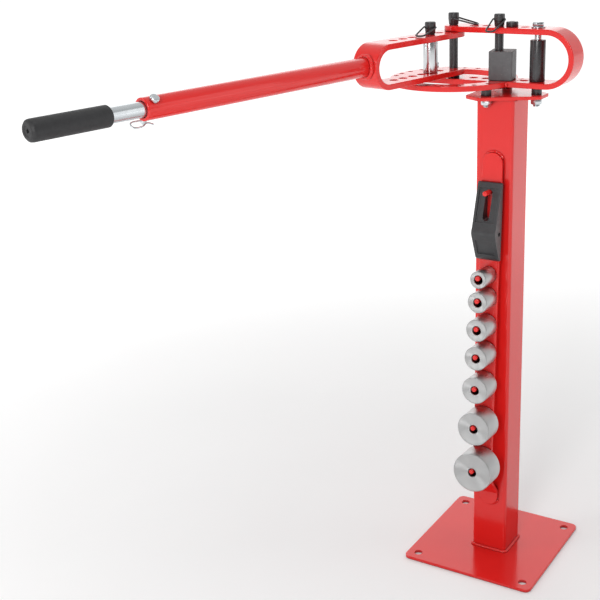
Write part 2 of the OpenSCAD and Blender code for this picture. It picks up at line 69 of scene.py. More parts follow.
pivot = flat(middle("pivot_bush"))
roller = flat(middle("roller_sleeve"))
arm_angle = math.atan2(roller.y - pivot.y, roller.x - pivot.x)
block_station = (flat(middle("block_pin")) - pivot).length
plug_station = (flat(middle("hole_plug")) - pivot).length
bolt_station = (flat(middle("bolt_washer")) - pivot).length
post = flat(middle("post_tube"))
post_half = (high("post_tube").x - low("post_tube").x) / 2
base_t = high("base_plate").z
plate_low, plate_top = low("top_plate").z, high("top_plate").z
index_low, index_top = low("index_plate").z, high("index_plate").z
support_low, support_top = low("support_frame").z, high("support_frame").z
swing_low, swing_top = low("swing_frame").z, high("swing_frame").z
handle_z = middle("handle_grip").z
strap_t = index_top - index_low
half_strap = 25.4
pin_hole_r = 7.85
support_stations = [39.5 + 23.8 * i for i in range(6)]
swing_stations = [41.8 + 24.8 * i for i in range(6)]
support_len = high("support_frame").x - pivot.x
swing_len = 240.5
leg_end = 10

PIVOT = Matrix.Translation(pivot)
ARM = PIVOT @ Matrix.Rotation(arm_angle, 4, "Z")


def at(x, y, z, base=Matrix.Identity(4)):
    return base @ Matrix.Translation((x, y, z))


# ---------- shells: (vertices in mm, faces) ----------

def joined(*shells):
    verts, faces, base = [], [], 0
    for v, f in shells:
        verts.append(np.asarray(v, float).reshape(-1, 3))
        faces += [[i + base for i in face] for face in f]
        base += len(v)
    return np.vstack(verts), faces


def moved(shell, matrix):
    m = np.array(matrix)
    return np.asarray(shell[0], float) @ m[:3, :3].T + m[:3, 3], shell[1]


def band(rows, cols, wrap):
    """Quads between rows of a grid whose columns close on themselves."""
    faces = []
    for i in range(rows if wrap else rows - 1):
        j = (i + 1) % rows
        for k in range(cols):
            n = (k + 1) % cols
            faces.append([i * cols + k, i * cols + n, j * cols + n, j * cols + k])
    return faces


def turned(rows, segments=72):
    """Solid of revolution from (radius, height) rows, which may also vary round the axis.
    Rows that start and end at radius 0 close on the axis, others close on themselves."""
    t = np.linspace(0, TAU, segments, endpoint=False)
    solid = np.max(rows[0][0]) < 1e-6
    inner = rows[1:-1] if solid else rows
    verts = []
    for r, z in inner:
        r, z = np.broadcast_to(r, t.shape), np.broadcast_to(z, t.shape)
        verts += list(zip(r * np.cos(t), r * np.sin(t), z))
    faces = band(len(inner), segments, not solid)
    if solid:
        for row, first in ((rows[0], 0), (rows[-1], (len(inner) - 1) * segments)):
            verts.append((0, 0, float(np.max(row[1]))))
            tip = len(verts) - 1
            faces += [[first + k, first + (k + 1) % segments, tip] for k in range(segments)]
    return verts, faces


def soften(points, radius, closed=True, steps=3):
    """Rounds the corners of a 2-D outline. The radius is one number or one for each corner."""
    out = []
    for i, point in enumerate(points):
        r = radius[i] if isinstance(radius, (list, tuple)) else radius
        p, a, b = Vector(point), Vector(points[i - 1]), Vector(points[(i + 1) % len(points)])
        ends = not closed and i in (0, len(points) - 1)
        angle = math.pi if ends else (a - p).angle(b - p)
        if r <= 0 or angle > math.radians(168):
            out.append(tuple(p))
            continue
        cut = min(r / math.tan(angle / 2), 0.49 * (a - p).length, 0.49 * (b - p).length)
        p0, p1 = p + (a - p).normalized() * cut, p + (b - p).normalized() * cut
        weight = math.sin(angle / 2)            # makes the conic a circular arc
        for k in range(steps + 1):
            t = k / steps
            w0, w1, w2 = (1 - t) ** 2, 2 * weight * t * (1 - t), t * t
            out.append(tuple((p0 * w0 + p * w1 + p1 * w2) / (w0 + w1 + w2)))
    return out


def profile(points, radius=0.8, steps=3):
    """A turned profile with softened corners, open on the axis or closed."""
    solid = abs(points[0][0]) < 1e-6
    return soften(points, radius, closed=not solid, steps=steps)


def circle(x, y, r, count=32, clockwise=True):
    sign = -1 if clockwise else 1
    return [(x + r * math.cos(TAU * k / count), y + sign * r * math.sin(TAU * k / count))
            for k in range(count)]


def arc(x, y, r, start, stop, count):
    return [(x + r * math.cos(math.radians(a)), y + r * math.sin(math.radians(a)))
            for a in np.linspace(start, stop, count)]


def inset(loop, d):
    """The loop moved by d to its left: into the material for outlines and for clockwise holes."""
    p = np.array(loop, float)
    e0 = p - np.roll(p, 1, 0)
    e1 = np.roll(p, -1, 0) - p
    e0 /= np.linalg.norm(e0, axis=1)[:, None]
    e1 /= np.linalg.norm(e1, axis=1)[:, None]
    n0 = np.stack([-e0[:, 1], e0[:, 0]], 1)
    n = n0 + np.stack([-e1[:, 1], e1[:, 0]], 1)
    n /= np.linalg.norm(n, axis=1)[:, None]
    return p + n * (d / np.maximum((n * n0).sum(1), 0.4))[:, None]


def plate(outer, holes, thickness, edge=0.9, steps=3, hole_edge=0.35):
    """Flat plate from z = 0 up. Its outline has rounded edges and its holes slightly broken ones."""
    bend = [math.radians(90 * k / steps) for k in range(steps + 1)]
    verts, faces, bottom, top, ends = [], [], [], [], []
    for number, loop in enumerate([outer] + list(holes)):
        r = hole_edge if number else edge
        levels = [(r * (1 - math.sin(a)), r * (1 - math.cos(a))) for a in bend]
        levels += [(d, thickness - z) for d, z in reversed(levels)]
        base, n = len(verts), len(loop)
        for d, z in levels:
            verts += [(x, y, z) for x, y in inset(loop, d)]
        for row in range(len(levels) - 1):
            for k in range(n):
                a, b = base + row * n + k, base + row * n + (k + 1) % n
                faces.append([a, b, b + n, a + n])
        last = base + (len(levels) - 1) * n
        ends.append([Vector((x, y, 0)) for x, y in inset(loop, levels[0][0])])
        bottom += range(base, base + n)
        top += range(last, last + n)
    for a, b, c in tessellate_polygon(ends):
        faces.append([bottom[c], bottom[b], bottom[a]])
        faces.append([top[a], top[b], top[c]])
    return verts, faces


def sliced(shell, xs):
    """Cuts the shell's faces along planes of constant x, so that it can be bent."""
    mesh = bpy.data.meshes.new("slicing")
    mesh.from_pydata([tuple(v) for v in shell[0]], [], shell[1])
    bm = bmesh.new()
    bm.from_mesh(mesh)
    for x in xs:
        bmesh.ops.bisect_plane(bm, geom=bm.verts[:] + bm.edges[:] + bm.faces[:],
                               dist=1e-4, plane_co=(x, 0, 0), plane_no=(1, 0, 0))
    bm.verts.index_update()
    out = [tuple(v.co) for v in bm.verts], [[v.index for v in f.verts] for f in bm.faces]
    bm.free()
    bpy.data.meshes.remove(mesh)
    return out


def frames(path, closed):
    """Tangents, normals and side vectors that don't twist along a path."""
    p = np.array(path, float)
    t = np.roll(p, -1, 0) - np.roll(p, 1, 0) if closed else np.gradient(p, axis=0)
    t /= np.linalg.norm(t, axis=1)[:, None]
    seed = np.array([0, 0, 1.0]) if abs(t[0][2]) < 0.9 else np.array([1.0, 0, 0])
    normals = []
    for tangent in t:
        seed = seed - tangent * seed.dot(tangent)
        seed = seed / np.linalg.norm(seed)
        normals.append(seed)
    n = np.array(normals)
    return p, t, n, np.cross(t, n)


def sweep(path, radius, segments=12, closed=False):
    """Round wire or rod along a path, with rounded ends where it is open."""
    p, t, n, b = frames(path, closed)
    angle = np.linspace(0, TAU, segments, endpoint=False)
    round_ends = []
    if not closed:
        round_ends = [(0.25, 0.97), (0.7, 0.71), (0.95, 0.3)]
    rows = []
    for k in range(len(round_ends)):
        out, size = round_ends[-1 - k]
        rows.append((p[0] - t[0] * out * radius, n[0], b[0], radius * size))
    rows += [(p[i], n[i], b[i], radius) for i in range(len(p))]
    for out, size in round_ends:
        rows.append((p[-1] + t[-1] * out * radius, n[-1], b[-1], radius * size))
    verts = [c + r * (math.cos(a) * nn + math.sin(a) * bb) for c, nn, bb, r in rows for a in angle]
    faces = band(len(rows), segments, closed)
    if not closed:
        faces.append(list(range(segments)))
        faces.append(list(range(len(verts) - segments, len(verts))))
    return verts, faces


def spaced(path, step, closed=False):
    """The path with points an even step apart."""
    p = np.array(path, float)
    if closed:
        p = np.vstack([p, p[:1]])
    run = np.concatenate([[0], np.cumsum(np.linalg.norm(np.diff(p, axis=0), axis=1))])
    count = max(4, int(run[-1] / step))
    s = np.linspace(0, run[-1], count, endpoint=not closed)
    return np.stack([np.interp(s, run, p[:, i]) for i in range(3)], 1)


def curve_through(points, per_span=8):
    """A smooth open curve through a few points."""
    p = np.array(points, float)
    p = np.vstack([2 * p[0] - p[1], p, 2 * p[-1] - p[-2]])
    out = []
    for i in range(1, len(p) - 2):
        for k in range(per_span):
            t = k / per_span
            out.append(0.5 * (2 * p[i] + (p[i + 1] - p[i - 1]) * t
                              + (2 * p[i - 1] - 5 * p[i] + 4 * p[i + 1] - p[i + 2]) * t ** 2
                              + (3 * p[i] - p[i - 1] - 3 * p[i + 1] + p[i + 2]) * t ** 3))
    out.append(p[-2])
    return np.array(out)


def bead(path, outward, size, pitch=5.0, closed=False, segments=14):
    """Weld bead: a round run whose surface carries overlapping crescent ripples.
    outward(point, tangent) gives the direction from the corner out to the bead's crown."""
    p = spaced(path, pitch / 8, closed)
    p, t, _, _ = frames(p, closed)
    run = np.arange(len(p)) * pitch / 8
    if closed:
        pitch = run[-1] / max(1, round(run[-1] / pitch))
    angle = np.linspace(0, TAU, segments, endpoint=False)
    verts = []
    for i, (point, tangent) in enumerate(zip(p, t)):
        n = np.array(outward(point, tangent), float)
        n -= tangent * n.dot(tangent)
        n /= np.linalg.norm(n)
        side = np.cross(tangent, n)
        for a in angle:
            wave = (run[i] / pitch - 0.45 * math.cos(a)) % 1.0
            ripple = 1 + 0.13 * (wave ** 0.6) * (1 - wave) * 2.6 - 0.05
            wobble = 1 + 0.05 * math.sin(run[i] * 0.37) + 0.03 * math.sin(run[i] * 0.11 + 1)
            verts.append(point + size * ripple * wobble * (math.cos(a) * n + 1.05 * math.sin(a) * side))
    faces = band(len(p), segments, closed)
    if not closed:
        for ring, sign in ((0, -1), (len(p) - 1, 1)):
            centre = p[ring] + t[ring] * sign * size * 0.45
            verts.append(centre)
            tip = len(verts) - 1
            first = ring * segments
            faces += [[first + k, first + (k + 1) % segments, tip] for k in range(segments)]
    return verts, faces


def hexagon(across, start, stop, bore=0.0):
    """Nut or bolt head with its corners turned down, and a chamfered bore if it has one."""
    segments = 72
    t = np.degrees(np.linspace(0, TAU, segments, endpoint=False))
    r = across / 2 / np.cos(np.radians((t + 30) % 60 - 30))
    crown = across / 2 * 0.96
    drop = (r - crown) * math.tan(math.radians(30))
    middle_rows = [(crown, start), (r - 0.25, start + drop * 0.85), (r, start + drop + 0.35),
                   (r, stop - drop - 0.35), (r - 0.25, stop - drop * 0.85), (crown, stop)]
    if bore:
        rows = [(bore, start + 0.9), (bore + 0.9, start)] + middle_rows
        rows += [(bore + 0.9, stop), (bore, stop - 0.9)]
    else:
        rows = [(0, start)] + middle_rows + [(crown * 0.6, stop), (0, stop)]
    return turned(rows, segments)


def thread(radius, pitch, start, stop):
    """Threaded rod end: a helical V groove."""
    segments, per_turn = 36, 6
    t = np.linspace(0, 1, segments, endpoint=False)
    levels = np.linspace(start, stop, int((stop - start) / pitch * per_turn) + 2)
    rows = [(0, start)]
    for z in levels:
        wave = np.abs(((z / pitch - t) % 1.0) * 2 - 1)
        fade = min(1.0, (z - start) / 1.0 + 0.25, (stop - z) / 1.0 + 0.25)
        rows.append((radius - 0.55 * pitch * (1 - wave) * 0.9 - (1 - fade) * 0.9, z))
    rows.append((0, stop))
    return turned(rows, segments)


def rod(radius, start, stop, edge=0.8, segments=48):
    return turned(profile([(0, start), (radius, start), (radius, stop), (0, stop)], edge), segments)


def tube(outer, inner, start, stop, edge=0.5, segments=72):
    rows = [(inner, start), (outer, start), (outer, stop), (inner, stop)]
    return turned(profile(rows, edge), segments)


# ---------- pieces ----------

def piece(name, shell, body, nodes, material, place=Matrix.Identity(4), sharp=38, even=False):
    mesh = bpy.data.meshes.new(name)
    mesh.from_pydata([Vector(v) * MM for v in shell[0]], [], shell[1])
    bm = bmesh.new()
    bm.from_mesh(mesh)
    bmesh.ops.remove_doubles(bm, verts=bm.verts, dist=1e-7)
    bmesh.ops.dissolve_degenerate(bm, edges=bm.edges, dist=1e-7)
    bmesh.ops.recalc_face_normals(bm, faces=bm.faces)
    bm.to_mesh(mesh)
    bm.free()
    mesh.polygons.foreach_set("use_smooth", [True] * len(mesh.polygons))
    mesh.set_sharp_from_angle(angle=math.radians(sharp))
    mesh.materials.append(material)
    obj = bpy.data.objects.new(name, mesh)
    bpy.context.scene.collection.objects.link(obj)
    placed = place.copy()
    placed.translation = placed.translation * MM
    obj.matrix_world = placed
    if even:                                   # keeps large flats flat in the shading
        normals = obj.modifiers.new("even_normals", "WEIGHTED_NORMAL")
        normals.keep_sharp = True
    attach(obj, body)
    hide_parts(*nodes)
    return obj


def keep(node, material, sharp=35):
    """A CAD node that stays, with a material and smooth shading."""
    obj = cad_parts[node]
    obj.data.polygons.foreach_set("use_smooth", [True] * len(obj.data.polygons))
    obj.data.set_sharp_from_angle(angle=math.radians(sharp))
    obj.data.materials.clear()
    obj.data.materials.append(material)


# ---------- materials ----------

class Nodes:
    """A material with a Principled shader and a few short ways to wire nodes."""

    def __init__(self, name):
        self.material = bpy.data.materials.new(name)
        self.material.use_nodes = True
        self.tree = self.material.node_tree
        self.shader = self.tree.nodes["Principled BSDF"]
        self.where = self.tree.nodes.new("ShaderNodeTexCoord").outputs["Object"]

    def link(self, a, b):
        self.tree.links.new(a, b)

    def set(self, **values):
        for key, value in values.items():
            self.shader.inputs[key.replace("_", " ")].default_value = value

    def noise(self, scale, detail=3, roughness=0.5, stretch=None):
        where = self.where
        if stretch:
            mapping = self.tree.nodes.new("ShaderNodeMapping")
            mapping.inputs["Scale"].default_value = stretch
            self.link(where, mapping.inputs["Vector"])
            where = mapping.outputs["Vector"]
        n = self.tree.nodes.new("ShaderNodeTexNoise")
        n.inputs["Scale"].default_value = scale
        n.inputs["Detail"].default_value = detail
        n.inputs["Roughness"].default_value = roughness
        self.link(where, n.inputs["Vector"])
        return n.outputs["Fac"]

    def range(self, value, a, b, c, d):
        n = self.tree.nodes.new("ShaderNodeMapRange")
        for i, v in enumerate((a, b, c, d)):
            n.inputs[i + 1].default_value = v
        self.link(value, n.inputs[0])
        return n.outputs[0]

    def math(self, operation, a, b=0.0):
        n = self.tree.nodes.new("ShaderNodeMath")
        n.operation = operation
        for i, v in enumerate((a, b)):
            if isinstance(v, (int, float)):
                n.inputs[i].default_value = v
            else:
                self.link(v, n.inputs[i])
        return n.outputs[0]

    def mix(self, factor, a, b):
        n = self.tree.nodes.new("ShaderNodeMix")
        n.data_type = "RGBA"
        self.link(factor, n.inputs["Factor"])
        for socket, value in ((n.inputs[6], a), (n.inputs[7], b)):
            if isinstance(value, tuple):
                socket.default_value = (*value, 1)
            else:
                self.link(value, socket)
        return n.outputs[2]

    def edge_wear_and_highlight(self, radius, sharpness=6.0):
        """0 on flats and near 1 on outer edges, from how far a rounded normal turns away. It lightens edges,
        partly as wear and partly as a painted edge highlight.
        """
        bevel = self.tree.nodes.new("ShaderNodeBevel")
        bevel.samples = 4
        bevel.inputs["Radius"].default_value = radius
        geometry = self.tree.nodes.new("ShaderNodeNewGeometry")
        dot = self.tree.nodes.new("ShaderNodeVectorMath")
        dot.operation = "DOT_PRODUCT"
        self.link(bevel.outputs[0], dot.inputs[0])
        self.link(geometry.outputs["Normal"], dot.inputs[1])
        away = self.math("SUBTRACT", 1.0, dot.outputs["Value"])
        return self.range(away, 0.02, 0.02 + 1 / sharpness, 0, 1)

    def painted_recess_shade(self, distance):
        """Painted shade mask from ambient occlusion: 1 in tight corners and holes, 0 on open faces."""
        n = self.tree.nodes.new("ShaderNodeAmbientOcclusion")
        n.samples = 8
        n.inputs["Distance"].default_value = distance
        return self.range(n.outputs["AO"], 0.25, 0.75, 1, 0)

    def bump(self, height, strength, distance, below=None):
        n = self.tree.nodes.new("ShaderNodeBump")
        n.inputs["Strength"].default_value = strength
        n.inputs["Distance"].default_value = distance
        self.link(height, n.inputs["Height"])
        if below is not None:
            self.link(below, n.inputs["Normal"])
        return n.outputs["Normal"]

    def finish(self, color=None, roughness=None, normal=None):
        for socket, value in (("Base Color", color), ("Roughness", roughness), ("Normal", normal)):
            if value is not None:
                self.link(value, self.shader.inputs[socket])
        return self.material


def red_powder_coat():
    m = Nodes("red_powder_coat")
    m.set(IOR=1.5, Specular_IOR_Level=0.42, Coat_Weight=0.12, Coat_Roughness=0.05)
    cloud = m.noise(9, 2)
    color = m.mix(cloud, (0.69, 0.014, 0.013), (0.76, 0.019, 0.016))
    speck = m.range(m.noise(900, 2), 0.62, 0.72, 0, 1)
    color = m.mix(m.math("MULTIPLY", speck, 0.12), color, (0.50, 0.010, 0.010))
    # painted shade: the red coat is darkened in holes, tight corners and between parts
    color = m.mix(m.math("MULTIPLY", m.painted_recess_shade(0.012), 0.85), color, (0.12, 0.004, 0.006))
    roughness = m.range(m.noise(60, 4), 0.3, 0.7, 0.13, 0.22)
    peel = m.bump(m.noise(420, 2, 0.4), 0.10, 0.0004)
    return m.finish(color, roughness, m.bump(m.noise(70, 2), 0.05, 0.001, peel))


def black_oxide():
    m = Nodes("black_oxide")
    m.set(IOR=1.6, Coat_Weight=0.25, Coat_Roughness=0.15, Metallic=0.25)
    color = m.mix(m.noise(120, 4), (0.016, 0.016, 0.018), (0.034, 0.034, 0.037))
    scuff = m.range(m.noise(500, 3, 0.6, (1, 1, 0.12)), 0.60, 0.72, 0, 0.35)
    color = m.mix(scuff, color, (0.085, 0.085, 0.09))
    # lighter outer edges: partly worn metal, partly a painted edge highlight
    color = m.mix(m.math("MULTIPLY", m.edge_wear_and_highlight(0.0006), 0.5), color, (0.16, 0.16, 0.165))
    roughness = m.range(m.noise(240, 4), 0.3, 0.7, 0.24, 0.42)
    return m.finish(color, roughness, m.bump(m.noise(900, 3), 0.12, 0.0002))


def cast_black():
    """The wedge former: a casting under semi-gloss black paint."""
    m = Nodes("cast_black")
    m.set(IOR=1.5, Coat_Weight=0.15, Coat_Roughness=0.25)
    color = m.mix(m.noise(90, 4), (0.020, 0.020, 0.022), (0.040, 0.041, 0.044))
    # lighter outer edges: partly worn paint, partly a painted edge highlight
    color = m.mix(m.math("MULTIPLY", m.edge_wear_and_highlight(0.0008), 0.45), color, (0.14, 0.14, 0.145))
    roughness = m.range(m.noise(200, 4), 0.3, 0.7, 0.34, 0.52)
    grain = m.bump(m.noise(650, 4, 0.6), 0.30, 0.0004)
    return m.finish(color, roughness, m.bump(m.noise(110, 2), 0.12, 0.001, grain))


def block_steel():
    m = Nodes("block_steel")
    m.set(IOR=1.5, Metallic=0.35)
    color = m.mix(m.noise(140, 5, 0.6), (0.080, 0.081, 0.084), (0.125, 0.126, 0.130))
    # lighter outer edges: partly worn steel, partly a painted edge highlight
    color = m.mix(m.math("MULTIPLY", m.edge_wear_and_highlight(0.0009), 0.7), color, (0.27, 0.27, 0.275))
    spot = m.range(m.noise(330, 1), 0.70, 0.76, 0, 0.35)
    color = m.mix(spot, color, (0.26, 0.25, 0.24))
    roughness = m.range(m.noise(300, 4), 0.3, 0.7, 0.42, 0.60)
    return m.finish(color, roughness, m.bump(m.noise(1100, 3), 0.25, 0.0002))


def zinc_plate():
    m = Nodes("zinc_plate")
    m.set(Metallic=1.0)
    color = m.mix(m.noise(30, 3), (0.53, 0.575, 0.60), (0.64, 0.665, 0.68))
    roughness = m.range(m.noise(160, 3), 0.3, 0.7, 0.20, 0.28)
    return m.finish(color, roughness, m.bump(m.noise(900, 2), 0.03, 0.0001))


def chrome():
    m = Nodes("chrome")
    m.set(Metallic=1.0, Anisotropic=0.3)
    color = m.mix(m.noise(80, 2), (0.56, 0.58, 0.595), (0.66, 0.675, 0.685))
    roughness = m.range(m.noise(900, 3, 0.5, (1, 1, 0.05)), 0.3, 0.7, 0.17, 0.27)
    return m.finish(color, roughness, m.bump(m.noise(900, 2, 0.5, (1, 1, 0.08)), 0.05, 0.0001))


def turned_steel():
    """Faced and turned metal: fine rings about the piece's own Z axis."""
    m = Nodes("turned_steel")
    m.set(Metallic=1.0, Anisotropic=0.88)
    tangent = m.tree.nodes.new("ShaderNodeTangent")
    tangent.direction_type = "RADIAL"
    tangent.axis = "Z"
    m.link(tangent.outputs[0], m.shader.inputs["Tangent"])
    split = m.tree.nodes.new("ShaderNodeSeparateXYZ")
    m.link(m.where, split.inputs[0])
    x, y, z = split.outputs
    square = m.math("ADD", m.math("MULTIPLY", x, x), m.math("MULTIPLY", y, y))
    along = m.math("ADD", m.math("SQRT", square), z)
    groove = m.math("SINE", m.math("MULTIPLY", along, TAU / 0.0007))
    varied = m.math("ADD", m.math("MULTIPLY", groove, 0.5), m.noise(1500, 2))
    color = m.mix(m.noise(45, 3), (0.43, 0.435, 0.44), (0.60, 0.60, 0.595))
    stain = m.range(m.noise(26, 4), 0.58, 0.75, 0, 0.22)
    color = m.mix(stain, color, (0.38, 0.365, 0.345))
    roughness = m.range(m.noise(90, 3), 0.3, 0.7, 0.30, 0.40)
    return m.finish(color, roughness, m.bump(varied, 0.05, 0.00008))


def rubber():
    m = Nodes("rubber")
    m.set(IOR=1.5, Specular_IOR_Level=0.4)
    color = m.mix(m.noise(70, 4), (0.017, 0.017, 0.018), (0.030, 0.030, 0.032))
    dust = m.range(m.noise(420, 4, 0.65), 0.58, 0.8, 0, 0.25)
    color = m.mix(dust, color, (0.075, 0.073, 0.070))
    roughness = m.range(m.noise(300, 4), 0.3, 0.7, 0.46, 0.62)
    return m.finish(color, roughness, m.bump(m.noise(1300, 3, 0.6), 0.35, 0.0002))


RED = red_powder_coat()
BLACK = black_oxide()
CAST = cast_black()
BLOCK = block_steel()
ZINC = zinc_plate()
CHROME = chrome()
TURNED = turned_steel()
RUBBER = rubber()


# ---------- stand ----------

def base_plate():
    half = high("base_plate").x
    pitch = 111
    square = soften([(-half, -half), (half, -half), (half, half), (-half, half)], 12, steps=8)
    holes = [circle(sx * pitch, sy * pitch, 8) for sx in (-1, 1) for sy in (-1, 1)]
    piece("base", plate(square, holes, base_t, 1.0), "stand", ["base_plate"], RED, even=True)


def top_plate():
    corners = []
    for a in (0, 120, 240):
        turn = Matrix.Rotation(math.radians(a), 2)
        corners += [turn @ Vector((73, -19.05)), turn @ Vector((73, 19.05))]
    shell = plate(soften([tuple(c) for c in corners], 7, steps=6), [], plate_top - plate_low, 1.0)
    place = at(101, 0, plate_low, PIVOT)
    piece("head_plate", shell, "stand", ["top_plate"], RED, place, even=True)


def foot_weld():
    side = post_half + 0.9
    path = soften([(-side, -side), (side, -side), (side, side), (-side, side)], 6, steps=6)
    path = [(x, y, 0.9) for x, y in path]

    def outward(point, tangent):
        return (tangent[1], -tangent[0], 1.0)
    shell = bead(path, outward, 3.3, 4.6, closed=True)
    place = at(post.x, post.y, base_t)
    piece("foot_bead", shell, "stand", ["foot_weld"], RED, place, sharp=60)


def top_weld():
    runs = []
    for s in (-1, 1):
        path = [(s * (post_half + 1), -24, -1), (s * (post_half + 1), 24, -1)]
        runs.append(bead(path, lambda p, t, s=s: (s, 0, -1.0), 3.0, 4.6))
    place = at(post.x, post.y, plate_low)
    piece("head_bead", joined(*runs), "stand", ["top_weld"], RED, place, sharp=60)


# ---------- die rack ----------

rack_half = 19
rack_t = 6.4
rack_lean = math.radians(3)
rack_face = post.y - post_half - 0.4
rack_top, rack_foot = high("rack_strip").z, low("rack_strip").z
rack_knee, rack_land = 182, 141
peg_r = 4.5


def rack_strip():
    """A flat strip with round ends, bent along its side outline."""
    out = (rack_top - rack_knee) * math.tan(rack_lean)
    corners = [(0, rack_foot), (0, rack_land), (out, rack_knee), (0, rack_top)]
    line = soften(corners, [0, 14, 16, 0], closed=False, steps=6)
    p = np.array(line)
    run = np.concatenate([[0], np.cumsum(np.linalg.norm(np.diff(p, axis=0), axis=1))])
    length = run[-1]
    outline = arc(length - rack_half, 0, rack_half, -90, 90, 25)
    outline += arc(rack_half, 0, rack_half, 90, 270, 25)
    verts, faces = sliced(plate(outline, [], rack_t, 1.0), run[1:-1])
    t = np.gradient(p, run, axis=0)
    t /= np.linalg.norm(t, axis=1)[:, None]
    bent = []
    for s, across, up in verts:
        here = [np.interp(s, run, p[:, i]) for i in (0, 1)]
        lean = [np.interp(s, run, t[:, i]) for i in (0, 1)]
        bent.append((post.x - across, rack_face - here[0] - up * lean[1], here[1] - up * lean[0]))
    piece("rack", (bent, faces), "stand", ["rack_strip"], RED, even=True)


def rack_welds():
    runs = []
    y = post.y - post_half
    for z, start, stop in ((rack_top - rack_half, 28, 152), (rack_foot + rack_half, 205, 335)):
        path = [(post.x + x, y, z + h) for x, h in arc(0, 0, rack_half + 1.0, start, stop, 30)]

        def outward(point, tangent, z=z):
            return (point[0] - post.x, -22, point[2] - z)
        runs.append(bead(path, outward, 2.7, 4.4))
    piece("rack_bead", joined(*runs), "stand", ["rack_welds"], RED, sharp=60)


def peg_place(drop, forward):
    """A peg's own frame: +Z points along the peg, out of the strip and a little uphill."""
    place = at(post.x, rack_face - drop * math.tan(rack_lean), rack_top - drop)
    lean = Matrix.Rotation(math.radians(90) - rack_lean, 4, "X")
    return place @ lean @ Matrix.Translation((0, 0, forward))


def peg(length):
    return turned(profile([(0, -1), (peg_r, -1), (peg_r, length), (0, length)], [0, 0, 1.2, 0]), 40)


peg_drops = [218, 260.4, 313, 367, 429, 506.2, 594.5]
former_drop = 68.5


def pegs():
    shells = [moved(peg(49.5), peg_place(drop, rack_t)) for drop in peg_drops]
    piece("pegs", joined(*shells), "stand", ["die_pegs"], RED)
    shell = moved(peg(29), peg_place(former_drop, rack_t))
    piece("short_peg", shell, "stand", ["former_peg"], RED)


def die(i, drop):
    """A turned die: chamfered rims, a relieved ring inside the rim of its outer end and a chamfered bore."""
    name = "die_%d" % (i + 1)
    r = (high(name).x - low(name).x) / 2
    length, bore = 45.0, 8.05
    rows = [(bore, 1.0), (bore + 1.0, 0), (r - 1.3, 0), (r, 1.1),
            (r, length - 1.1), (r - 1.3, length), (r - 2.6, length), (r - 2.9, length - 0.35),
            (bore + 2.2, length - 0.35), (bore + 1.0, length - 0.35), (bore, length - 1.3)]
    rows = profile(rows, [0.2, 0.2, 0.3, 0.3, 0.3, 0.3, 0.1, 0.1, 0.1, 0.2, 0.2], steps=2)
    sag = bore - peg_r - 0.05
    place = peg_place(drop, rack_t + 0.6) @ Matrix.Translation((0, -sag, 0))
    piece("turned_" + name, turned(rows, 96), name, [name], TURNED, place)


def cut(obj, other):
    """Subtracts one mesh object from another and removes the second."""
    cutter = obj.modifiers.new("cut", "BOOLEAN")
    cutter.operation = "DIFFERENCE"
    cutter.solver = "FAST"
    cutter.object = other
    apply_modifiers(obj)
    bpy.data.objects.remove(other)


def apply_modifiers(obj):
    graph = bpy.context.evaluated_depsgraph_get()
    graph.update()
    mesh = bpy.data.meshes.new_from_object(obj.evaluated_get(graph))
    obj.modifiers.clear()
    obj.data = mesh


def scratch(shell, place=Matrix.Identity(4)):
    """A helper object in mm for mesh work."""
    mesh = bpy.data.meshes.new("scratch")
    mesh.from_pydata([tuple(v) for v in moved(shell, place)[0]], [], shell[1])
    bm = bmesh.new()
    bm.from_mesh(mesh)
    bmesh.ops.remove_doubles(bm, verts=bm.verts, dist=1e-4)
    bmesh.ops.recalc_face_normals(bm, faces=bm.faces)
    if bm.calc_volume(signed=True) < 0:
        bmesh.ops.reverse_faces(bm, faces=bm.faces)
    bm.to_mesh(mesh)
    bm.free()
    obj = bpy.data.objects.new("scratch", mesh)
    bpy.context.scene.collection.objects.link(obj)
    return obj


def brick(lo, hi, edge=1.0):
    outline = soften([(lo[0], lo[1]), (hi[0], lo[1]), (hi[0], hi[1]), (lo[0], hi[1])], edge, steps=3)
    return moved(plate(outline, [], hi[2] - lo[2], min(edge, 1.0), 2), at(0, 0, lo[2]))


